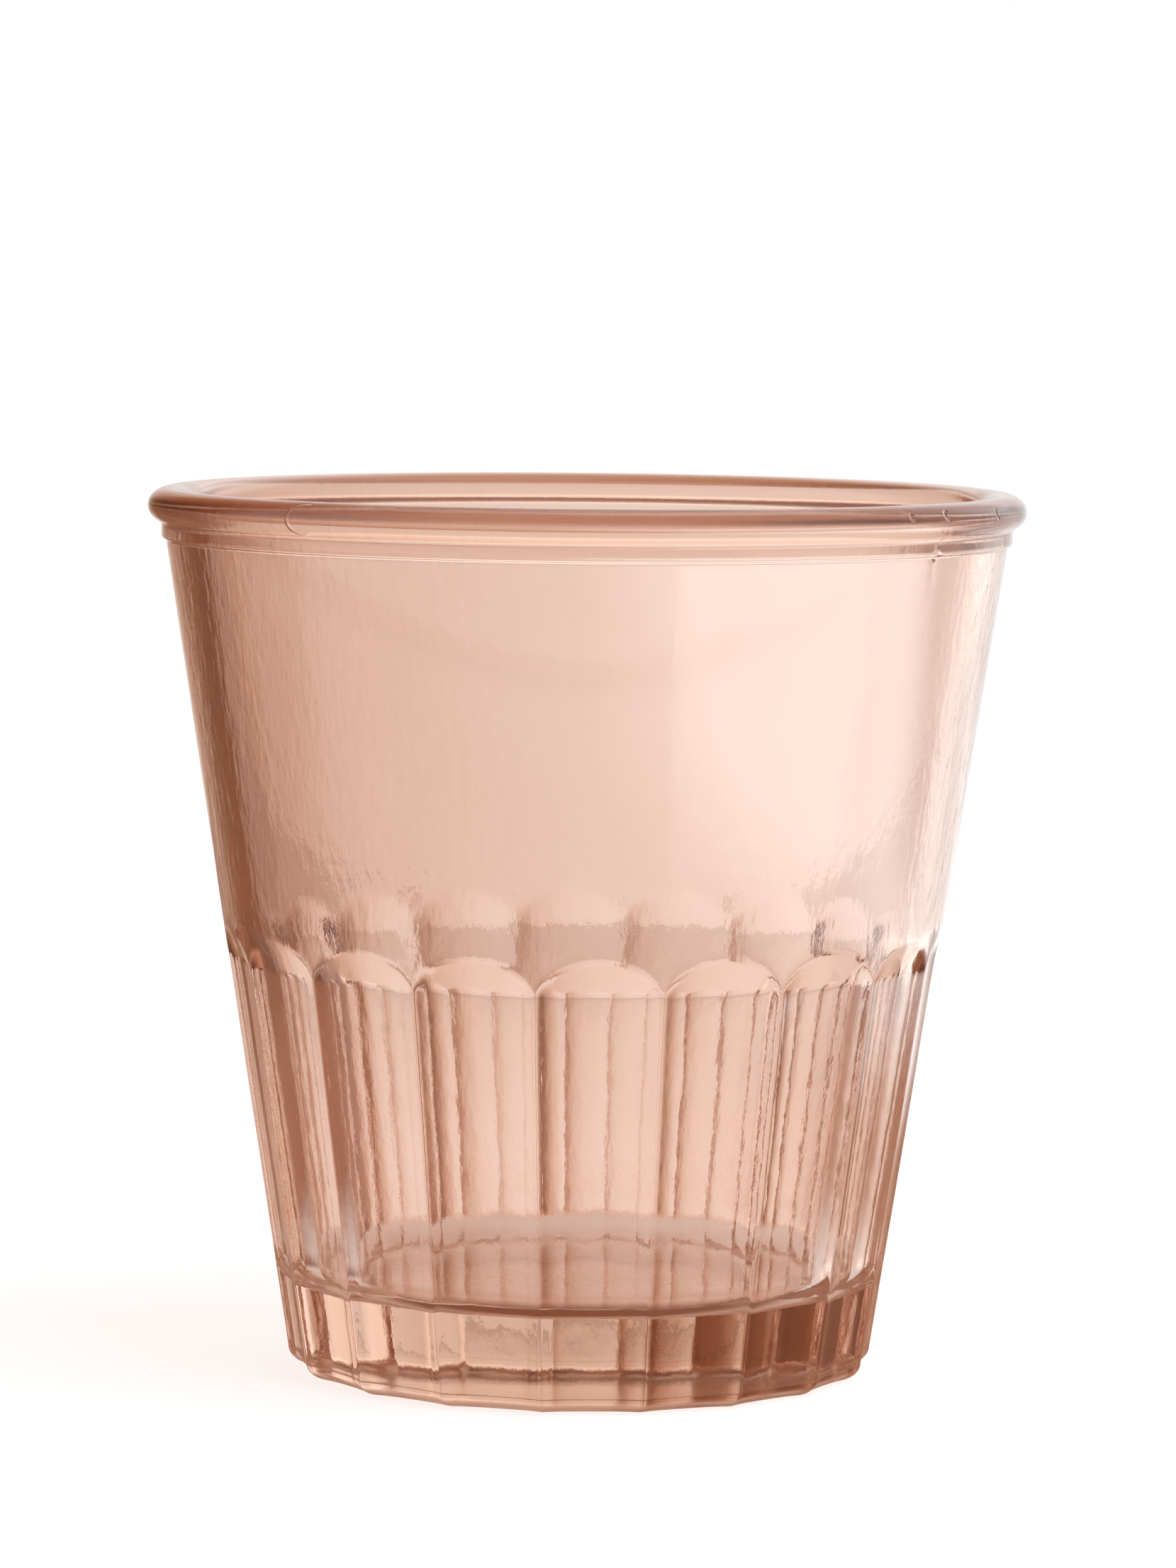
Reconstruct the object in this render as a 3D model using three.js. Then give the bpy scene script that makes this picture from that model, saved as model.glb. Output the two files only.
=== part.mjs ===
import * as THREE from "three";

// Ribbed tumbler of pressed glass, in millimetres, standing on z = 0 with its axis on Z.
// The glass is one casting. Its zones are modelled as closed solids that meet on level planes:
// rim bead, collar ring, plain wall, fluted wall and foot.

// Outside of the tumbler
const HEIGHT = 90.8;
const FOOT_RADIUS = 29.9;
const RIM_WALL_RADIUS = 43.4;
const BEAD_PROUD = 1.6;
const BEAD_HEIGHT = 3.6;
const COLLAR_HEIGHT = 1.6;
const COLLAR_PROUD = 0.25;
const FOOT_ROUND = 3;

// Inside of the tumbler
const WALL_THICKNESS = 3.6;
const FLOOR_HEIGHT = 9.6;
const FLOOR_CORNER = 3;
const LIP_ROUND = 2.7;

// Flutes pressed into the lower wall, ridge to ridge, with an arched ramp at the top of each
const FLUTE_COUNT = 18;
const FLUTE_DEPTH = 1.1;
const ARCH_TOP = 46.1;
const ARCH_RISE = 3.3;
const ARCH_MARGIN = 0.9;

// Shallow recess under the foot, which leaves a flat standing ring
const RECESS_RADIUS = 20;
const RECESS_DEPTH = 0.6;
const RECESS_SLOPE = 3;

// Fineness of the facets
const FLUTE_STEPS = 6;
const FLUTED_SEGMENTS = FLUTE_COUNT * FLUTE_STEPS;
const ROUND_SEGMENTS = 72;
const BEAD_STEPS = 6;
const CORNER_STEPS = 4;
const COLLAR_STEPS = 3;

// Level planes where one zone of the glass ends and the next begins
const BEAD_BASE = HEIGHT - BEAD_HEIGHT;
const COLLAR_BASE = BEAD_BASE - COLLAR_HEIGHT;
const FLUTED_TOP = ARCH_TOP + ARCH_MARGIN;
const FOOT_TOP = FLOOR_HEIGHT + FLOOR_CORNER;
const ARCH_FOOT = ARCH_TOP - ARCH_RISE;
const FLUTE_PITCH = (2 * Math.PI) / FLUTE_COUNT;

// Radius of the outside cone at a height
function wallRadius(z) {
  return FOOT_RADIUS + ((RIM_WALL_RADIUS - FOOT_RADIUS) * z) / BEAD_BASE;
}

// Radius of the inside cone at a height
function boreRadius(z) {
  return wallRadius(z) - WALL_THICKNESS;
}

// How far a flute is pressed in at an angle and height: a hollow between two ridges,
// which a ramp lifts out to the plain wall above the arch foot
function fluteDepth(angle, z) {
  const turns = angle / FLUTE_PITCH;
  const across = 2 * (turns - Math.floor(turns)) - 1;
  const taper = wallRadius(z) / wallRadius(ARCH_TOP);
  const hollow = FLUTE_DEPTH * taper * (1 - across * across);
  const ramp = (FLUTE_DEPTH * Math.max(0, z - ARCH_FOOT)) / ARCH_RISE;
  return Math.max(0, hollow - ramp);
}

// Section points: plain ones stay round, fluted ones take the flutes
function plain(r, z) {
  return { r, z, fluted: false };
}

function fluted(r, z) {
  return { r, z, fluted: true };
}

// Points of an elliptical arc in the section plane, in degrees from the outward direction
function arc(r, z, halfWidth, halfHeight, from, to, steps) {
  const start = THREE.MathUtils.degToRad(from);
  const end = THREE.MathUtils.degToRad(to);
  const curve = new THREE.EllipseCurve(r, z, halfWidth, halfHeight, start, end, end < start);
  return curve.getPoints(steps);
}

// Turns a closed section round the axis and presses the flutes into its fluted points
function turned(name, section, segments, material) {
  const outline = section.map((p) => new THREE.Vector2(p.r, p.z));
  const geometry = new THREE.LatheGeometry(outline, segments);
  const position = geometry.attributes.position;
  const step = (2 * Math.PI) / segments;
  for (let i = 0; i <= segments; i += 1) {
    for (let j = 0; j < section.length; j += 1) {
      const p = section[j];
      if (p.fluted) {
        const k = i * section.length + j;
        const scale = 1 - fluteDepth((i % segments) * step, p.z) / p.r;
        position.setX(k, position.getX(k) * scale);
        position.setZ(k, position.getZ(k) * scale);
      }
    }
  }
  geometry.rotateX(Math.PI / 2);
  geometry.computeVertexNormals();
  const mesh = new THREE.Mesh(geometry, material);
  mesh.name = name;
  return mesh;
}

const glass = new THREE.MeshStandardMaterial({ color: 0xe3b39d, roughness: 0.08, metalness: 0 });
glass.name = "peach_glass";

// Rim bead: rolled drinking edge, round outside and over the lip
function rimBead() {
  const half = BEAD_HEIGHT / 2;
  const middle = BEAD_BASE + half;
  const crest = boreRadius(middle) + LIP_ROUND;
  const reach = RIM_WALL_RADIUS + BEAD_PROUD - crest;
  const seat = plain(boreRadius(BEAD_BASE), BEAD_BASE);
  const edge = plain(RIM_WALL_RADIUS + COLLAR_PROUD, BEAD_BASE);
  const outside = arc(crest, middle, reach, half, -60, 90, 2 * BEAD_STEPS);
  const inside = arc(crest, middle, LIP_ROUND, half, 90, 180, BEAD_STEPS).slice(1);
  const round = outside.concat(inside).map((p) => plain(p.x, p.y));
  return [seat, edge, ...round, seat];
}

// Collar ring: narrow band under the bead, a little proud of the wall with eased edges
function collarRing() {
  const lowest = wallRadius(COLLAR_BASE);
  const seat = plain(boreRadius(COLLAR_BASE), COLLAR_BASE);
  const rise = COLLAR_HEIGHT / 2;
  const ease = RIM_WALL_RADIUS + COLLAR_PROUD - lowest;
  const swell = arc(lowest, COLLAR_BASE + rise, ease, rise, -90, 0, COLLAR_STEPS);
  const band = swell.map((p) => plain(p.x, p.y));
  const top = plain(RIM_WALL_RADIUS + COLLAR_PROUD, BEAD_BASE);
  return [seat, ...band, top, plain(boreRadius(BEAD_BASE), BEAD_BASE), seat];
}

// Plain wall: smooth cone between the collar and the flutes
function plainWall() {
  const seat = plain(boreRadius(FLUTED_TOP), FLUTED_TOP);
  return [
    seat,
    plain(wallRadius(FLUTED_TOP), FLUTED_TOP),
    plain(wallRadius(COLLAR_BASE), COLLAR_BASE),
    plain(boreRadius(COLLAR_BASE), COLLAR_BASE),
    seat,
  ];
}

// Fluted wall: the same cone with the flutes, each ending above in an arch
function flutedWall() {
  const seat = plain(boreRadius(FOOT_TOP), FOOT_TOP);
  const outside = [fluted(wallRadius(FOOT_TOP), FOOT_TOP)];
  const half = FLUTE_STEPS / 2;
  for (let i = half; i >= 0; i -= 1) {
    const z = ARCH_FOOT + ARCH_RISE * (1 - (i / half) ** 2);
    outside.push(fluted(wallRadius(z), z));
  }
  outside.push(plain(wallRadius(FLUTED_TOP), FLUTED_TOP));
  return [seat, ...outside, plain(boreRadius(FLUTED_TOP), FLUTED_TOP), seat];
}

// Foot: heavy base with the floor and its round corner inside, and the standing ring below
function foot() {
  const corner = boreRadius(FOOT_TOP) - FLOOR_CORNER;
  const dish = arc(corner, FOOT_TOP, FLOOR_CORNER, FLOOR_CORNER, 0, -90, CORNER_STEPS);
  const inside = dish.map((p) => plain(p.x, p.y));
  const round = wallRadius(FOOT_ROUND) - FOOT_ROUND;
  const heel = arc(round, FOOT_ROUND, FOOT_ROUND, FOOT_ROUND, -90, 0, CORNER_STEPS);
  const outside = heel.map((p) => fluted(p.x, p.y));
  return [
    plain(0, RECESS_DEPTH),
    plain(RECESS_RADIUS - RECESS_SLOPE, RECESS_DEPTH),
    plain(RECESS_RADIUS, 0),
    ...outside,
    fluted(wallRadius(FOOT_TOP), FOOT_TOP),
    ...inside,
    plain(0, FLOOR_HEIGHT),
  ];
}

const group = new THREE.Group();
group.name = "ribbed_tumbler";
group.add(turned("rim_bead", rimBead(), ROUND_SEGMENTS, glass));
group.add(turned("collar_ring", collarRing(), ROUND_SEGMENTS, glass));
group.add(turned("plain_wall", plainWall(), ROUND_SEGMENTS, glass));
group.add(turned("fluted_wall", flutedWall(), FLUTED_SEGMENTS, glass));
group.add(turned("foot", foot(), FLUTED_SEGMENTS, glass));

export default group;
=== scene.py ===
# %% [markdown]
# # A ribbed tumbler of pressed glass
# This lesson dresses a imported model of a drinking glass. The model comes in as a fixed frame of five
# zones: rim bead, collar ring, plain wall, fluted wall and foot. Light has to pass through the glass
# without meeting the planes between those zones, so the glass is made here as one seamless closed skin.
# The heights that the frame knows are read from it, and the finer sizes are named where they are used.

# %% Load the frame
import math
import bpy
from mathutils import Matrix, Vector, noise


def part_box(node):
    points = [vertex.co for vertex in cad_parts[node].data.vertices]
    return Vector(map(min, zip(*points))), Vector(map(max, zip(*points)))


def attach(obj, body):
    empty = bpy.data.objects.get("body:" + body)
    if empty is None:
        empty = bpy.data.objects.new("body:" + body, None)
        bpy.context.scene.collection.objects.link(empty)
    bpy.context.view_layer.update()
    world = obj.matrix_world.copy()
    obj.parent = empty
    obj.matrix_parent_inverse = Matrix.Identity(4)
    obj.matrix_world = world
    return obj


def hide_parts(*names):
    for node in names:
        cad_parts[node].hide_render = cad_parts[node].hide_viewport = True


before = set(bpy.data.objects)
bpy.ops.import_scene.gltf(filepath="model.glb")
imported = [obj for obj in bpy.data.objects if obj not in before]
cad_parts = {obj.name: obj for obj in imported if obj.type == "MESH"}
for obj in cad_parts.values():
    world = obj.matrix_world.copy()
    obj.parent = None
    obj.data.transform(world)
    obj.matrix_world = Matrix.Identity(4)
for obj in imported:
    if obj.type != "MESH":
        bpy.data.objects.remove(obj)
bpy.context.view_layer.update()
MM = 0.001
print("frame nodes:", sorted(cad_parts))

# %% [markdown]
# ## The camera
# The photograph was taken from a little above the rim, so the mouth is a thin ellipse while the foot is
# seen from further above. A long lens at about seven and a half heights away gives that. The camera
# leans slightly, as the photograph does. It stands a few degrees round from the front, because the
# frame keeps a ridge between two flutes exactly on the front, and the photograph shows that ridge left
# of the middle.

# %% Camera
CAMERA_TURN = math.radians(7.4)
CAMERA_DISTANCE = 680 * MM
CAMERA_HEIGHT = 120.15 * MM
CAMERA_DIP = math.radians(5.014)
CAMERA_LEAN = math.radians(0.556)
CAMERA_SWING = math.radians(-0.028)
PHOTO_HEIGHT_PX = 2212
FOCAL_PX = 9351
SENSOR = 36.0

right_way = Vector((math.cos(CAMERA_TURN), math.sin(CAMERA_TURN), 0))
far_way = Vector((-math.sin(CAMERA_TURN), math.cos(CAMERA_TURN), 0))
lens = bpy.data.cameras.new("photo_camera")
lens.sensor_width = SENSOR
lens.lens = FOCAL_PX / PHOTO_HEIGHT_PX * SENSOR
camera = bpy.data.objects.new("photo_camera", lens)
bpy.context.scene.collection.objects.link(camera)
camera.matrix_world = (
    Matrix.Translation(-CAMERA_DISTANCE * far_way + Vector((0, 0, CAMERA_HEIGHT)))
    @ Matrix.Rotation(CAMERA_TURN + CAMERA_SWING, 4, "Z")
    @ Matrix.Rotation(math.pi / 2 - CAMERA_DIP, 4, "X")
    @ Matrix.Rotation(CAMERA_LEAN, 4, "Z")
)
bpy.context.scene.camera = camera
print("camera lens, mm:", round(lens.lens, 1))

# %% [markdown]
# ## Heights and radii
# A pressed glass is a turned form: a section swung round the axis. The section's heights are read from
# the frame's boxes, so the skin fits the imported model. Sizes that no box shows, such as the wall's
# thickness, are named here once. The rim stays a hair inside the frame's box, to leave room for the
# ripple.

# %% Heights and radii
RIM_CLEAR = 0.005 * MM
FOOT_RADIUS = 29.9 * MM
RIM_WALL_RADIUS = 43.4 * MM
WALL = 3.6 * MM
FLOOR_CORNER = 3.0 * MM

bead_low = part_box("rim_bead")[0][2]
rim_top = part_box("rim_bead")[1][2]
rim_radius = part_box("rim_bead")[1][0] - RIM_CLEAR
collar_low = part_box("collar_ring")[0][2]
foot_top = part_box("foot")[1][2]
floor_height = foot_top - FLOOR_CORNER


def wall_radius(z):
    return FOOT_RADIUS + (RIM_WALL_RADIUS - FOOT_RADIUS) * z / bead_low


def bore_radius(z):
    return wall_radius(z) - WALL


for name, z in (("floor", foot_top), ("rim", bead_low)):
    print("bore at the", name, "in mm:", round(bore_radius(z) / MM, 2))

# %% [markdown]
# ## The flutes
# Eighteen hollows run down the lower wall. The mould leaves a sharp ridge between two flutes, flush
# with the cone above, and each flute ends at its top in a ramp that lifts out to the plain wall. Where
# the ramp meets the cone it draws an arch. A cutter and a boolean would give the same arches, but a
# formula gives clean quads and smooth normals, which matter in glass, because every facet edge shows as
# a line of light.

# %% Flute formula
FLUTES = 18
FLUTE_DEPTH = 1.1 * MM
SHOULDER_SHARE = 0.35
SHOULDER_POWER = 6
CREST_ROUND = 0.03
ARCH_TOP = 46.1 * MM
ARCH_RISE = 3.3 * MM
RAMP_EASE = 0.3 * MM
RIDGE_EASE = 0.12 * MM
ARCH_EASE = 0.13 * MM
ARCH_EASE_FROM = 40 * MM
ARCH_EASE_TO = 45 * MM
MID_FLUTE = 30 * MM
FLUTE_PITCH = 2 * math.pi / FLUTES
arch_low = ARCH_TOP - ARCH_RISE


def soft_positive(value, ease):
    return 0.5 * (value + math.sqrt(value * value + ease * ease))


def flute_depth(angle, z):
    turns = angle / FLUTE_PITCH
    inset = 1 - abs(2 * (turns - math.floor(turns)) - 1)
    across = 1 - (math.sqrt(inset * inset + CREST_ROUND * CREST_ROUND) - CREST_ROUND)
    hollow = (1 - SHOULDER_SHARE) * (1 - across**2) + SHOULDER_SHARE * (1 - across**SHOULDER_POWER)
    hollow *= FLUTE_DEPTH * wall_radius(z) / wall_radius(ARCH_TOP)
    ramp = FLUTE_DEPTH * soft_positive(z - arch_low, RAMP_EASE) / ARCH_RISE
    share = min(1, max(0, (z - ARCH_EASE_FROM) / (ARCH_EASE_TO - ARCH_EASE_FROM)))
    ease = RIDGE_EASE + (ARCH_EASE - RIDGE_EASE) * share
    return soft_positive(hollow - ramp, ease)


print("flute depth at mid height, mm:", round(flute_depth(FLUTE_PITCH / 2, MID_FLUTE) / MM, 2))

# %% [markdown]
# ## Mould seams
# The mould opens in two halves, which leave a fine line down the collar on opposite sides, with a small
# nick where the collar meets the wall. A seam could be a bump, but it bends the light through the
# glass, so it is pressed into the skin: a narrow bell curve that fades out down the wall.

# %% Mould seams
SEAM_ANGLES = (math.radians(60), math.radians(240))
SEAM_DEPTH = 0.07 * MM
SEAM_WIDTH = 0.28 * MM
SEAM_REACH = 2 * MM
SEAM_DROP = 4.0 * MM
NICK_DEPTH = 0.16 * MM
NICK_WIDTH = 0.45 * MM
NICK_HEIGHT = 0.3 * MM


def bell(value, width):
    return math.exp(-((value / width) ** 2))


def seam_depth(angle, r, z):
    depth = 0
    if z > bead_low:
        return depth
    run = max(0, 1 - max(0, collar_low - z) / SEAM_DROP)
    for seam in SEAM_ANGLES:
        gap = (angle - seam) * r
        if abs(gap) < SEAM_REACH:
            depth += SEAM_DEPTH * run * bell(gap, SEAM_WIDTH)
            depth += NICK_DEPTH * bell(gap, NICK_WIDTH) * bell(z - collar_low, NICK_HEIGHT)
    return depth


print("deepest nick, mm:", round(seam_depth(SEAM_ANGLES[0], RIM_WALL_RADIUS, collar_low) / MM, 2))

# %% [markdown]
# ## Lines of the section
# The section is drawn with three kinds of line: a straight stretch, an elliptical bend and a stretch of
# the outer cone. Each gives points with a flag that says whether the flutes press on them, and each
# leaves out its first point, because the line before has ended there.

# %% Lines of the section
def stretch(start, end, count, fluted):
    return [
        (start[0] + (end[0] - start[0]) * i / count, start[1] + (end[1] - start[1]) * i / count, fluted)
        for i in range(1, count + 1)
    ]


def bend(centre, half_width, half_height, start, end, count, fluted):
    points = []
    for i in range(1, count + 1):
        a = math.radians(start + (end - start) * i / count)
        r = centre[0] + half_width * math.cos(a)
        z = centre[1] + half_height * math.sin(a)
        points.append((r, z, fluted))
    return points


def cone(low, high, count):
    return stretch((wall_radius(low), low), (wall_radius(high), high), count, True)


print("cone from foot to collar, mm:", [round(v / MM, 1) for v in cone(0, collar_low, 1)[0][:2]])

# %% [markdown]
# ## The outside of the section
# From the axis the line runs out under the foot, round the heel, up the cone and over the collar. The
# recess under the foot leaves a flat ring to stand on. Rows lie close together where the form turns
# quickly, at the heel, the arches and the seams, and further apart on the straight wall.

# %% Outside of the section
RECESS_RADIUS = 20.0 * MM
RECESS_DEPTH = 0.2 * MM
RECESS_SLOPE = 6.0 * MM
HEEL_WIDTH = 3.0 * MM
HEEL_RISE = 2.0 * MM
BELOW_ARCH = 1 * MM
ABOVE_ARCH = 3.4 * MM
COLLAR_PROUD = 0.2 * MM
COLLAR_EASE = 0.3 * MM
RECESS_ROWS = 6
SLOPE_ROWS = 8
RING_ROWS = 6
HEEL_ROWS = 12
FLUTE_ROWS = 80
ARCH_ROWS = 56
PLAIN_ROWS = 28
SEAM_ROWS = 16
COLLAR_ROWS = 5

recess_edge = RECESS_RADIUS - RECESS_SLOPE
heel = wall_radius(HEEL_RISE) - HEEL_WIDTH
collar_radius = RIM_WALL_RADIUS + COLLAR_PROUD
collar_seat = wall_radius(collar_low)
collar_eased = collar_low + COLLAR_EASE
section = []
section += stretch((0, RECESS_DEPTH), (recess_edge, RECESS_DEPTH), RECESS_ROWS, False)
section += stretch((recess_edge, RECESS_DEPTH), (RECESS_RADIUS, 0), SLOPE_ROWS, False)
section += stretch((RECESS_RADIUS, 0), (heel, 0), RING_ROWS, True)
section += bend((heel, HEEL_RISE), HEEL_WIDTH, HEEL_RISE, -90, 0, HEEL_ROWS, True)
section += cone(HEEL_RISE, arch_low - BELOW_ARCH, FLUTE_ROWS)
section += cone(arch_low - BELOW_ARCH, ARCH_TOP + ABOVE_ARCH, ARCH_ROWS)
section += cone(ARCH_TOP + ABOVE_ARCH, collar_low - SEAM_DROP, PLAIN_ROWS)
section += cone(collar_low - SEAM_DROP, collar_low, SEAM_ROWS)
swell_out = collar_radius - collar_seat
section += bend((collar_seat, collar_eased), swell_out, COLLAR_EASE, -90, 0, COLLAR_ROWS, False)
section += stretch((collar_radius, collar_eased), (collar_radius, bead_low), COLLAR_ROWS, False)
print("outside rows:", len(section))

# %% [markdown]
# ## The bead and the inside
# The drinking edge is rolled: round outside, and rounder still over the lip. From there the line runs
# down the bore, round the floor's corner and in to the axis. The point on the axis itself is left to
# the skin, which closes there.

# %% Bead and inside
LIP_ROUND = 2.7 * MM
BEAD_ROWS = 30
LIP_ROWS = 16
BORE_ROWS = 60
CORNER_ROWS = 12
FLOOR_ROWS = 8

bead_half = (rim_top - bead_low) / 2
bead_middle = bead_low + bead_half
crest = bore_radius(bead_middle) + LIP_ROUND
lip = (bore_radius(bead_middle), bead_middle)
bore_foot = (bore_radius(foot_top), foot_top)
dish = bore_radius(foot_top) - FLOOR_CORNER
section += bend((crest, bead_middle), rim_radius - crest, bead_half, -60, 90, BEAD_ROWS, False)
section += bend((crest, bead_middle), LIP_ROUND, bead_half, 90, 180, LIP_ROWS, False)
section += stretch(lip, bore_foot, BORE_ROWS, False)
section += bend((dish, foot_top), FLOOR_CORNER, FLOOR_CORNER, 0, -90, CORNER_ROWS, False)
section += stretch((dish, floor_height), (0, floor_height), FLOOR_ROWS, False)
section.pop()
print("section rows:", len(section))

# %% [markdown]
# ## Columns round the axis
# The section is swung round the axis in columns. Even columns would waste faces in the hollows, so they
# crowd together towards the ridges, where the surface turns.

# %% Columns
STEPS = 24
CROWDING = 0.6


def column_angles():
    angles = []
    for flute in range(FLUTES):
        for step in range(STEPS):
            even = 2 * step / STEPS - 1
            crowded = math.sin(math.pi / 2 * even)
            shift = (1 - CROWDING) * even + CROWDING * crowded
            angles.append((flute + 0.5 + 0.5 * shift) * FLUTE_PITCH)
    return angles


angles = column_angles()
columns = len(angles)
print("columns:", columns)

# %% [markdown]
# ## Points of the skin
# Hot glass never leaves the mould quite true. A slow ripple moves each point by a few hundredths of a
# millimetre, with a finer one on the flutes, and it dies away at the foot and the rim, so the tumbler
# stands flat and keeps its size. A displacement modifier could do this too, but it would follow the
# normals of the flutes, and this ripple moves each point straight out from the axis.

# %% Points of the skin
RIPPLE = 0.03 * MM
RIPPLE_SIZE = 11 * MM
FINE_RIPPLE = 0.012 * MM
FINE_SIZE = 2.2 * MM
STILL_FOOT = 2 * MM
STILL_RIM = 3 * MM


def skin_point(r, z, fluted, angle):
    way = Vector((math.sin(angle), -math.cos(angle), 0))
    reach = r - (flute_depth(angle, z) if fluted else 0)
    if r > bore_radius(z) + WALL / 2:
        reach -= seam_depth(angle, r, z)
    place = way * reach + Vector((0, 0, z))
    wave = RIPPLE * noise.noise(place / RIPPLE_SIZE)
    if fluted and z < arch_low:
        wave += FINE_RIPPLE * noise.noise(place / FINE_SIZE)
    calm = min(1, z / STILL_FOOT) * min(1, (rim_top - z) / STILL_RIM)
    return place + way * (calm * wave)


points = [(0, 0, RECESS_DEPTH)]
points += [skin_point(*row, angle) for row in section for angle in angles]
points.append((0, 0, floor_height))
print("skin points:", len(points))

# %% [markdown]
# ## The glass skin
# Quads join each row of points to the next, and two fans of triangles close the skin under the foot and
# on the floor. It is one closed mesh, so light enters and leaves it as it does real glass. It rides on
# the frame's root, and takes the place of all five zones.

# %% Glass skin
last = 1 + (len(section) - 1) * columns
top = len(points) - 1
faces = [(0, 1 + (k + 1) % columns, 1 + k) for k in range(columns)]
for low in range(1, last, columns):
    for k in range(columns):
        n = (k + 1) % columns
        faces.append((low + k, low + n, low + columns + n, low + columns + k))
faces += [(last + k, last + (k + 1) % columns, top) for k in range(columns)]

skin = bpy.data.meshes.new("tumbler_glass")
skin.from_pydata(points, [], faces)
skin.update()
skin.shade_smooth()
tumbler = bpy.data.objects.new("tumbler_glass", skin)
bpy.context.scene.collection.objects.link(tumbler)
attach(tumbler, "root")
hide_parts("rim_bead", "collar_ring", "plain_wall", "fluted_wall", "foot")
print("skin faces:", len(faces))

# %% [markdown]
# ## Nodes and numbers
# A material is a net of small nodes. These helpers add a node, feed each of its sockets with a plain
# value or with another node's output, and hand back the output. Most of what follows is then one line
# per thought, such as a sum, or a fade between two places.

# %% Nodes and numbers
def add_node(tree, kind, **settings):
    node = tree.nodes.new(kind)
    for name, value in settings.items():
        setattr(node, name, value)
    return node


def feed(tree, socket, source):
    if isinstance(source, bpy.types.NodeSocket):
        tree.links.new(source, socket)
    else:
        socket.default_value = source


def figure(tree, operation, *sources):
    node = add_node(tree, "ShaderNodeMath", operation=operation)
    for socket, source in zip(node.inputs, sources):
        feed(tree, socket, source)
    return node.outputs["Value"]


def fade(tree, value, start, end, low=0, high=1, soft=True):
    kind = "SMOOTHSTEP" if soft else "LINEAR"
    node = add_node(tree, "ShaderNodeMapRange", interpolation_type=kind)
    settings = {"Value": value, "From Min": start, "From Max": end, "To Min": low, "To Max": high}
    for name, source in settings.items():
        feed(tree, node.inputs[name], source)
    return node.outputs["Result"]


print("helpers for numbers:", [helper.__name__ for helper in (add_node, feed, figure, fade)])

# %% [markdown]
# ## Colours and places
# The second set of helpers works with colours, shaders and places: a mix of two colours or two shaders,
# how far a point lies along a direction, its distance, and a soft cloud of noise.

# %% Colours and places
def blend(tree, share, first, second, kind="MIX"):
    node = add_node(tree, "ShaderNodeMix", data_type="RGBA", blend_type=kind)
    feed(tree, node.inputs["Factor"], share)
    feed(tree, node.inputs[6], first)
    feed(tree, node.inputs[7], second)
    return node.outputs[2]


def blend_shaders(tree, share, first, second):
    node = add_node(tree, "ShaderNodeMixShader")
    for socket, source in zip(node.inputs, (share, first, second)):
        feed(tree, socket, source)
    return node.outputs["Shader"]


def along(tree, place, direction):
    node = add_node(tree, "ShaderNodeVectorMath", operation="DOT_PRODUCT")
    feed(tree, node.inputs[0], place)
    feed(tree, node.inputs[1], direction)
    return node.outputs["Value"]


def distance(tree, place):
    node = add_node(tree, "ShaderNodeVectorMath", operation="LENGTH")
    feed(tree, node.inputs[0], place)
    return node.outputs["Value"]


def cloud(tree, place, scale, detail=2):
    node = add_node(tree, "ShaderNodeTexNoise")
    feed(tree, node.inputs["Vector"], place)
    feed(tree, node.inputs["Scale"], scale)
    feed(tree, node.inputs["Detail"], detail)
    return node.outputs["Fac"]


def colour(tone, brightest=1.0):
    return (*(part / brightest for part in tone), 1)


WHITE = colour((1, 1, 1))
print("white as a node colour:", WHITE)

# %% [markdown]
# ## Colour of the glass
# Peach glass is tinted twice here: a little at each surface, by the base colour, and a little more
# along the way through, by an absorbing volume further down. The surface tint drifts slightly, as a
# melt is never quite even. The rolled rim looks deeper than the wall in the photograph, so its colour
# is multiplied by a darker tint.

# %% Colour of the glass
CLOUD_SCALE = 60
PEACH_DEEP = (0.924, 0.781, 0.714)
PEACH_PALE = (0.936, 0.801, 0.740)
PEACH_FROM = 0.3
PEACH_TO = 0.7
RIM_TINT = (0.85, 0.70, 0.62)
RIM_FADE_FROM = collar_low - 0.5 * MM
RIM_FADE_TO = bead_low + 0.8 * MM
GLASS_IOR = 1.5

glass = bpy.data.materials.new("peach_glass")
glass.use_nodes = True
tree = glass.node_tree
surface = tree.nodes["Principled BSDF"]
surface.inputs["Transmission Weight"].default_value = 1.0
surface.inputs["IOR"].default_value = GLASS_IOR
on_glass = add_node(tree, "ShaderNodeTexCoord").outputs["Object"]
drift = cloud(tree, on_glass, CLOUD_SCALE)
peach = add_node(tree, "ShaderNodeValToRGB")
for stop, place, tone in zip(peach.color_ramp.elements, (PEACH_FROM, PEACH_TO), (PEACH_DEEP, PEACH_PALE)):
    stop.position = place
    stop.color = colour(tone)
feed(tree, peach.inputs["Fac"], drift)
height = along(tree, on_glass, (0, 0, 1))
rim_share = fade(tree, height, RIM_FADE_FROM, RIM_FADE_TO, soft=False)
peach_tint = blend(tree, rim_share, peach.outputs["Color"], colour(RIM_TINT), "MULTIPLY")
feed(tree, surface.inputs["Base Color"], peach_tint)
skin.materials.append(glass)
print("material:", glass.name)

# %% [markdown]
# ## Polish of the glass
# Fire-polished glass is almost mirror smooth, with faint uneven patches. The rim is a little hazy, and
# the ring that stands on tables is worn matt. The three are added up into one roughness.

# %% Polish of the glass
POLISH = 0.03
RIM_HAZE = 0.10
FOOT_WEAR = 0.25
WEAR_FROM = 2.2 * MM
WEAR_TO = 0.8 * MM

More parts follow.
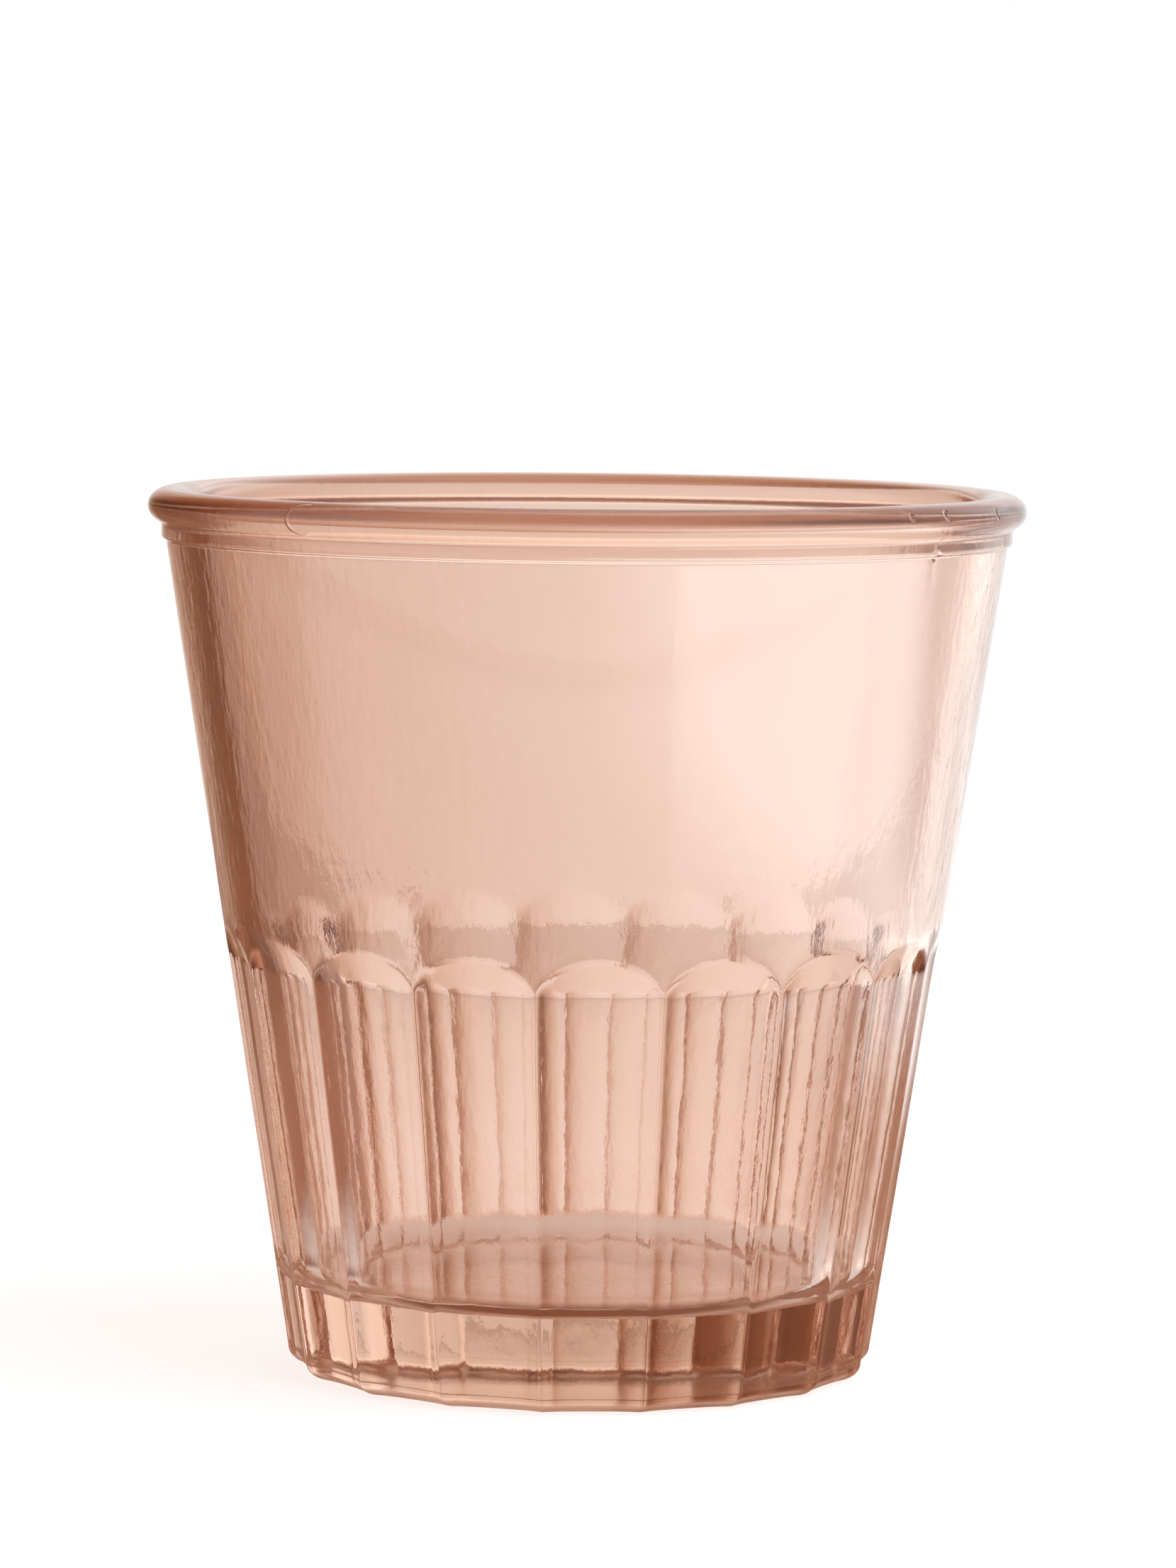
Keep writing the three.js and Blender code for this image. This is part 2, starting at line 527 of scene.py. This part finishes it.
patches = fade(tree, drift, 0, 1, 0, POLISH, soft=False)
haze = figure(tree, "MULTIPLY_ADD", rim_share, RIM_HAZE, patches)
wear = fade(tree, height, WEAR_FROM, WEAR_TO, 0, FOOT_WEAR, soft=False)
feed(tree, surface.inputs["Roughness"], figure(tree, "ADD", haze, wear))
print("roughest at the foot:", POLISH + FOOT_WEAR)

# %% [markdown]
# ## Marks on the bead
# The mould pressed an open ring and three short ticks into the bead. Each is a circle round a point on
# the bead, kept on one side only: the mark is where the distance to that point is close to the circle's
# radius. They are a tenth of a millimetre deep at most, so a bump is enough.

# %% Marks on the bead
MARKS = [
    (-31, 89.3, 1.85, 0.5),
    (53, 89.9, 0.5, 0.3),
    (60, 89.9, 0.6, 0.3),
    (73.5, 89.6, 0.5, 0.3),
]
MARK_WIDTH = 0.3 * MM
MARK_END = 0.3 * MM


def mark_height(tree, angle, z, radius, open_side):
    centre = (rim_radius * math.sin(angle), -rim_radius * math.cos(angle), z)
    node = add_node(tree, "ShaderNodeVectorMath", operation="SUBTRACT")
    feed(tree, node.inputs[0], on_glass)
    feed(tree, node.inputs[1], centre)
    off_centre = node.outputs["Vector"]
    off_line = figure(tree, "ABSOLUTE", figure(tree, "SUBTRACT", distance(tree, off_centre), radius))
    line = fade(tree, off_line, MARK_WIDTH, 0)
    side = along(tree, off_centre, (math.cos(angle), math.sin(angle), 0))
    kept = fade(tree, side, open_side, open_side - MARK_END, soft=False)
    return figure(tree, "MULTIPLY", line, kept)


marks = [
    mark_height(tree, math.radians(angle), z * MM, radius * MM, open_side * MM)
    for angle, z, radius, open_side in MARKS
]
print("marks on the bead:", len(marks))

# %% [markdown]
# ## Skin of the glass
# The mould leaves a fine grain, drawn out a little along the height. It is a noise stretched that way,
# and the marks are taken away from it. Together they feed one bump.

# %% Skin of the glass
GRAIN_DRAW = (1, 1, 0.35)
GRAIN_SCALE = 900
GRAIN_DETAIL = 4
MARK_DEPTH = 4
BUMP_STRENGTH = 0.4
BUMP_DISTANCE = 0.05 * MM

drawn = add_node(tree, "ShaderNodeMapping")
feed(tree, drawn.inputs["Vector"], on_glass)
feed(tree, drawn.inputs["Scale"], GRAIN_DRAW)
relief = cloud(tree, drawn.outputs["Vector"], GRAIN_SCALE, GRAIN_DETAIL)
for mark in marks:
    relief = figure(tree, "MULTIPLY_ADD", mark, -MARK_DEPTH, relief)
bump = add_node(tree, "ShaderNodeBump")
feed(tree, bump.inputs["Strength"], BUMP_STRENGTH)
feed(tree, bump.inputs["Distance"], BUMP_DISTANCE)
feed(tree, bump.inputs["Height"], relief)
feed(tree, surface.inputs["Normal"], bump.outputs["Normal"])
print("bump distance, mm:", BUMP_DISTANCE / MM)

# %% [markdown]
# ## Depth and shadow of the glass
# Inside the skin an absorbing volume takes more blue than red, so thick places turn amber while the
# thin wall stays pale. Glass casts a light, coloured shadow, which a path tracer finds slowly. Here a
# lamp's light passes straight through a plain tinted shader instead, only where the ray is a shadow
# ray.

# %% Depth and shadow of the glass
DEPTH_COLOUR = (0.75, 0.48, 0.305)
DEPTH_DENSITY = 21
SHADOW_TINT = (0.94, 0.90, 0.88)

volume = add_node(tree, "ShaderNodeVolumeAbsorption")
feed(tree, volume.inputs["Color"], colour(DEPTH_COLOUR))
feed(tree, volume.inputs["Density"], DEPTH_DENSITY)
lamp_light = add_node(tree, "ShaderNodeBsdfTransparent")
feed(tree, lamp_light.inputs["Color"], colour(SHADOW_TINT))
shadow_ray = add_node(tree, "ShaderNodeLightPath").outputs["Is Shadow Ray"]
passing = blend_shaders(tree, shadow_ray, surface.outputs["BSDF"], lamp_light.outputs["BSDF"])
glass_out = tree.nodes["Material Output"]
feed(tree, glass_out.inputs["Surface"], passing)
feed(tree, glass_out.inputs["Volume"], volume.outputs["Volume"])
print("glass nodes:", len(tree.nodes))

# %% [markdown]
# ## The table
# The tumbler stands on a pale table that ends some way behind it. The table's far edge shows through
# the wall as a faint level line. A hair of room under the foot keeps the two surfaces from meeting.

# %% Table
TABLE_REACH = 1.0
TABLE_FAR = 0.46
TABLE_DROP = 0.05 * MM


def on_table(right, far):
    return right * right_way + far * far_way


corners = [
    on_table(-TABLE_REACH, -TABLE_REACH),
    on_table(TABLE_REACH, -TABLE_REACH),
    on_table(TABLE_REACH, TABLE_FAR),
    on_table(-TABLE_REACH, TABLE_FAR),
]
table_mesh = bpy.data.meshes.new("studio_floor")
table_mesh.from_pydata(corners, [], [(0, 1, 2, 3)])
table = bpy.data.objects.new("studio_floor", table_mesh)
bpy.context.scene.collection.objects.link(table)
table.location.z = -TABLE_DROP
pale = bpy.data.materials.new("pale_floor")
pale.use_nodes = True
tree = pale.node_tree
tree.nodes.remove(tree.nodes["Principled BSDF"])
table_mesh.materials.append(pale)
print("table depth behind the glass, m:", TABLE_FAR)

# %% [markdown]
# ## Places on the table
# The glass bends its view of the table, and each part of it shows another patch. So the table's painted
# light and shade are laid out by place: how far to the right, how far behind, and how far from the
# glass. A tone ramp turns such a place into a colour, with its stops written as real distances.

# %% Places on the table
FRONT_FROM = -10 * MM
FRONT_TO = -22 * MM
BACK_FROM = -50 * MM
BACK_TO = 10 * MM
AWAY_FROM = 55 * MM
AWAY_TO = 95 * MM


def tone_ramp(tree, value, tones, brightest=1.0):
    low, high = tones[0][0], tones[-1][0]
    ramp = add_node(tree, "ShaderNodeValToRGB")
    stops = ramp.color_ramp.elements
    while len(stops) < len(tones):
        stops.new(0.5)
    for stop, (place, tone) in zip(stops, tones):
        stop.position = (place - low) / (high - low)
        stop.color = colour(tone, brightest)
    feed(tree, ramp.inputs["Fac"], fade(tree, value, low, high, soft=False))
    return ramp.outputs["Color"]


rays = add_node(tree, "ShaderNodeLightPath").outputs
spot = add_node(tree, "ShaderNodeNewGeometry").outputs["Position"]
right_of = along(tree, spot, right_way)
behind_it = along(tree, spot, far_way)
from_glass = distance(tree, spot)
away = fade(tree, from_glass, AWAY_FROM, AWAY_TO)
in_front = fade(tree, behind_it, FRONT_FROM, FRONT_TO)
back_half = fade(tree, behind_it, BACK_FROM, BACK_TO)
print("table tones start, mm from the axis:", AWAY_FROM / MM)

# %% [markdown]
# ## Paper of the table
# The table is pale paper with a faint grain. To the camera its paint is a little darker, and a plain
# glow lifts it to white in a later cell, so that the shadow stays soft. Through the glass, the paper
# right in front of the foot carries a painted shadow, a brown tint for light that has crossed the glass.

# %% Paper of the table
PALE = 0.8
PAPER_DRIFT = 0.02
PAPER_SCALE = 40
PAPER_DETAIL = 3
SHADOW_WEIGHT = 0.6
PAINTED_SHADOW_TINT = (0.28, 0.14, 0.085)

paper_grain = cloud(tree, spot, PAPER_SCALE, PAPER_DETAIL)
paper_tone = fade(tree, paper_grain, 0, 1, PALE - PAPER_DRIFT, PALE + PAPER_DRIFT, soft=False)
seen_share = figure(tree, "MULTIPLY_ADD", rays["Is Camera Ray"], SHADOW_WEIGHT - 1, 1)
plain_paper = figure(tree, "MULTIPLY", seen_share, paper_tone)
# Painted shadow: the paper by the foot takes a brown tint, only for rays through the glass.
by_the_foot = figure(tree, "MULTIPLY", in_front, figure(tree, "SUBTRACT", 1, away))
painted_shadow_share = figure(tree, "MULTIPLY", by_the_foot, rays["Is Transmission Ray"])
paper_with_painted_shadow = blend(tree, painted_shadow_share, plain_paper, colour(PAINTED_SHADOW_TINT))
print("paper tone:", PALE)

# %% [markdown]
# ## Painted shade on the table through the glass
# Behind the glass the table carries a painted shade in the tumbler's own colour. Near by, the painted
# shade falls off to both sides, and further back it is darker still. Only rays that have passed through
# the glass see this painted shade.

# %% Painted shade through the glass
PAINTED_SIDE_SHADE = [
    (-0.07, (0.36, 0.16, 0.10)),
    (-0.02, (0.60, 0.38, 0.28)),
    (0.02, (0.56, 0.35, 0.25)),
    (0.09, (0.50, 0.30, 0.22)),
]
PAINTED_FAR_SHADE = [
    (-0.07, (0.24, 0.09, 0.045)),
    (-0.02, (0.60, 0.38, 0.28)),
    (0.02, (0.58, 0.36, 0.26)),
    (0.06, (0.12, 0.035, 0.015)),
]
BEYOND_FROM = 140 * MM
BEYOND_TO = 200 * MM

# Painted shade: dark tones laid on the table by place, seen only through the glass.
beyond = fade(tree, from_glass, BEYOND_FROM, BEYOND_TO)
painted_side_shade = tone_ramp(tree, right_of, PAINTED_SIDE_SHADE)
painted_far_shade = tone_ramp(tree, right_of, PAINTED_FAR_SHADE)
shade = blend(tree, beyond, painted_side_shade, painted_far_shade)
back_away = figure(tree, "MULTIPLY", away, back_half)
through = figure(tree, "MULTIPLY", back_away, rays["Is Transmission Ray"])
paper = add_node(tree, "ShaderNodeBsdfDiffuse")
feed(tree, paper.inputs["Color"], blend(tree, through, paper_with_painted_shadow, shade))
print("shade stops:", len(PAINTED_SIDE_SHADE) + len(PAINTED_FAR_SHADE))

# %% [markdown]
# ## White to the camera
# A white background comes from a plain glow that only the camera sees, so no extra light falls on the
# glass. In front of the tumbler, where views from behind look, rays through the glass get the rest of
# that lift too.

# %% White to the camera
CAMERA_LIFT = 0.54
FRONT_LIFT = 0.23

camera_lift = figure(tree, "MULTIPLY", rays["Is Camera Ray"], CAMERA_LIFT)
front_away = figure(tree, "MULTIPLY", in_front, away)
open_front = figure(tree, "MULTIPLY", front_away, rays["Is Transmission Ray"])
glow = add_node(tree, "ShaderNodeEmission")
feed(tree, glow.inputs["Strength"], figure(tree, "MULTIPLY_ADD", open_front, FRONT_LIFT, camera_lift))
lifted = add_node(tree, "ShaderNodeAddShader")
feed(tree, lifted.inputs[0], paper.outputs["BSDF"])
feed(tree, lifted.inputs[1], glow.outputs["Emission"])
print("camera lift:", CAMERA_LIFT)

# %% [markdown]
# ## Sheen of the table
# Seen at a low angle, smooth paper shines and shows the bright room behind it. Layer Weight finds the
# low angle, and a glossy shader gives the shine, duller towards the table's far edge. Only rays through
# the glass need it, because the camera sees plain white there.

# %% Sheen of the table
SHEEN = [
    (0.15, (0.98, 0.97, 0.96)),
    (0.26, (0.93, 0.90, 0.88)),
    (0.38, (0.76, 0.71, 0.68)),
    (0.46, (0.76, 0.71, 0.68)),
]
SHEEN_ROUGHNESS = 0.1
LOW_ANGLE_FROM = 0.70
LOW_ANGLE_TO = 0.88

facing = add_node(tree, "ShaderNodeLayerWeight").outputs["Facing"]
low_angle = fade(tree, facing, LOW_ANGLE_FROM, LOW_ANGLE_TO)
shine = figure(tree, "MULTIPLY", low_angle, rays["Is Transmission Ray"])
varnish = add_node(tree, "ShaderNodeBsdfGlossy")
feed(tree, varnish.inputs["Color"], tone_ramp(tree, behind_it, SHEEN))
feed(tree, varnish.inputs["Roughness"], SHEEN_ROUGHNESS)
varnished = blend_shaders(tree, shine, lifted.outputs["Shader"], varnish.outputs["BSDF"])
print("sheen stops:", len(SHEEN))

# %% [markdown]
# ## Painted light on the table in reflections
# The outside of the glass mirrors the table. A painted pool of light glows on the right of it, cut by
# the soft edge of a painted pane, and that pool draws the bright strips on the right-hand flutes. Close
# to the foot the table carries a painted warm shade. The pool glows as written, to reflected rays only.

# %% Table in reflections
POOL_WAY = math.radians(100)
POOL = [
    (-0.12, (0.25, 0.18, 0.15)),
    (-0.03, (0.60, 0.54, 0.50)),
    (0.04, (1.4, 1.35, 1.3)),
    (0.09, (2.5, 2.5, 2.5)),
    (0.16, (4.6, 4.6, 4.6)),
]
POOL_BRIGHTEST = 4.6
PANE_WAY = math.radians(157)
PANE_SOFT = 9 * MM
PANE_DIM = 0.82
PANE_BRIGHT = 1.14
PAINTED_NEAR_SHADE = (0.45, 0.24, 0.16)
CLEAR_FROM = 120 * MM
CLEAR_TO = 210 * MM

clear = fade(tree, from_glass, CLEAR_FROM, CLEAR_TO)
pool_side = along(tree, spot, on_table(math.sin(POOL_WAY), math.cos(POOL_WAY)))
pane_side = along(tree, spot, on_table(-math.cos(PANE_WAY), math.sin(PANE_WAY)))
pane = fade(tree, pane_side, -PANE_SOFT, PANE_SOFT, PANE_DIM, PANE_BRIGHT)
pool_tone = tone_ramp(tree, pool_side, POOL, POOL_BRIGHTEST)
# Painted light: the pool is a glow that only reflected rays see, and no lamp throws it.
pool = add_node(tree, "ShaderNodeEmission")
feed(tree, pool.inputs["Color"], blend(tree, clear, colour(PAINTED_NEAR_SHADE, POOL_BRIGHTEST), pool_tone))
feed(tree, pool.inputs["Strength"], figure(tree, "MULTIPLY", POOL_BRIGHTEST, pane))
print("brightest pool:", POOL_BRIGHTEST * PANE_BRIGHT)

# %% [markdown]
# ## The table put together
# Behind the glass the table glows with painted light in reflections, with a painted shade to the left.
# This part joins the pool of light, and reflected rays see the pair. All other rays see the varnished
# paper.

# %% Table put together
PAINTED_BACK_LIGHT = [
    (-0.08, (0.30, 0.14, 0.08)),
    (0.05, (1.30, 1.27, 1.25)),
]
BACK_BRIGHTEST = 1.3
EVEN_TO = 150 * MM

painted_back_tone = tone_ramp(tree, right_of, PAINTED_BACK_LIGHT, BACK_BRIGHTEST)
# Painted light and shade: this glow stands for the lit table behind, seen by reflected rays only.
even = add_node(tree, "ShaderNodeEmission")
feed(tree, even.inputs["Color"], blend(tree, clear, colour(PAINTED_NEAR_SHADE, BACK_BRIGHTEST), painted_back_tone))
feed(tree, even.inputs["Strength"], BACK_BRIGHTEST)
behind = fade(tree, behind_it, 0, EVEN_TO)
mirrored = blend_shaders(tree, behind, pool.outputs["Emission"], even.outputs["Emission"])
whole_table = blend_shaders(tree, rays["Is Reflection Ray"], varnished, mirrored)
feed(tree, tree.nodes["Material Output"].inputs["Surface"], whole_table)
print("table nodes:", len(tree.nodes))

# %% [markdown]
# ## The room
# Clear glass shows what stands round it. The studio is bright behind and to the right, as from a large
# window, and dim on the left, which draws the dark lines along the left edge and beside the ridges. The
# world gives that as a tone for each direction, in degrees to the right of the view.

# %% Room
ROOM = [
    (-180, (0.92, 0.90, 0.89)),
    (-150, (1.00, 0.99, 0.98)),
    (-90, (1.00, 0.98, 0.97)),
    (-80, (0.80, 0.70, 0.64)),
    (-65, (0.17, 0.06, 0.03)),
    (-35, (0.20, 0.075, 0.037)),
    (-28, (0.26, 0.10, 0.05)),
    (-21, (0.30, 0.13, 0.075)),
    (-17, (0.47, 0.27, 0.18)),
    (-13, (0.65, 0.46, 0.37)),
    (-9, (0.79, 0.64, 0.56)),
    (-5, (0.90, 0.82, 0.76)),
    (-1, (0.98, 0.95, 0.92)),
    (5, (1.03, 1.02, 1.01)),
    (18, (1.06, 1.06, 1.06)),
    (25, (1.00, 0.97, 0.95)),
    (33, (1.40, 1.40, 1.40)),
    (44, (1.40, 1.40, 1.40)),
    (54, (1.05, 0.98, 0.94)),
    (75, (0.95, 0.88, 0.84)),
    (95, (1.00, 0.98, 0.97)),
    (180, (0.92, 0.90, 0.89)),
]
ROOM_BRIGHTEST = 1.4

world = bpy.data.worlds.new("studio")
world.use_nodes = True
bpy.context.scene.world = world
tree = world.node_tree
way = add_node(tree, "ShaderNodeTexCoord").outputs["Generated"]
turn = figure(tree, "ARCTAN2", along(tree, way, right_way), along(tree, way, far_way))
room_tone = tone_ramp(tree, figure(tree, "DEGREES", turn), ROOM, ROOM_BRIGHTEST)
print("room stops:", len(ROOM))

# %% [markdown]
# ## Height of the room
# The room brightens upwards to a lit band and then falls off towards the ceiling. This second ramp runs
# over the sine of the height angle, and multiplies the first.

# %% Height of the room
SKY = [
    (-0.06, (1.00, 1.00, 1.00)),
    (0.00, (1.04, 1.04, 1.04)),
    (0.08, (1.06, 1.06, 1.06)),
    (0.22, (1.10, 1.10, 1.10)),
    (0.26, (1.45, 1.45, 1.45)),
    (0.31, (1.45, 1.45, 1.45)),
    (0.35, (1.30, 1.30, 1.30)),
    (0.52, (1.30, 1.28, 1.26)),
    (0.80, (0.70, 0.66, 0.64)),
]
SKY_BRIGHTEST = 1.45

sky_tone = tone_ramp(tree, along(tree, way, (0, 0, 1)), SKY, SKY_BRIGHTEST)
room = tree.nodes["Background"]
feed(tree, room.inputs["Color"], blend(tree, 1.0, room_tone, sky_tone, "MULTIPLY"))
feed(tree, room.inputs["Strength"], ROOM_BRIGHTEST * SKY_BRIGHTEST)
print("sky stops:", len(SKY))

# %% [markdown]
# ## Background and fill
# To the camera itself the background is plain white. Matt surfaces, here only the table, get an even,
# weak fill from all sides, so the lamp alone decides their shadow.

# %% Background and fill
FILL = 0.25

white = add_node(tree, "ShaderNodeBackground")
feed(tree, white.inputs["Color"], WHITE)
fill = add_node(tree, "ShaderNodeBackground")
feed(tree, fill.inputs["Color"], WHITE)
feed(tree, fill.inputs["Strength"], FILL)
rays = add_node(tree, "ShaderNodeLightPath").outputs
lit = blend_shaders(tree, rays["Is Diffuse Ray"], room.outputs["Background"], fill.outputs["Background"])
viewed = blend_shaders(tree, rays["Is Camera Ray"], lit, white.outputs["Background"])
feed(tree, tree.nodes["World Output"].inputs["Surface"], viewed)
print("world nodes:", len(tree.nodes))

# %% [markdown]
# ## The lamp
# One broad, soft lamp stands for the window, and throws the faint shadow to the left. The glass shows
# the window through the world's tones, so the lamp itself is hidden from reflections and from rays
# through the glass. Light crosses the walls and flutes many times, so the paths may be long.

# %% Lamp
SHADOW_TURN = math.radians(-60)
LAMP_RISE = math.radians(58)
LAMP_SPREAD = math.radians(50)
LAMP_POWER = 2.9
LONGEST_PATH = 64

lamp = bpy.data.lights.new("window", "SUN")
lamp.energy = LAMP_POWER
lamp.angle = LAMP_SPREAD
window = bpy.data.objects.new("window", lamp)
bpy.context.scene.collection.objects.link(window)
level = math.sin(SHADOW_TURN) * right_way + math.cos(SHADOW_TURN) * far_way
falling = math.cos(LAMP_RISE) * level - Vector((0, 0, math.sin(LAMP_RISE)))
window.rotation_euler = falling.to_track_quat("-Z", "Y").to_euler()
window.visible_glossy = False
window.visible_transmission = False
bpy.context.scene.cycles.max_bounces = LONGEST_PATH
bpy.context.scene.cycles.glossy_bounces = LONGEST_PATH
bpy.context.scene.cycles.transmission_bounces = LONGEST_PATH

# %% [markdown]
# ## Finish
# Plain view settings keep the colours as they are written.

# %% Finish
bpy.context.scene.view_settings.view_transform = "Standard"
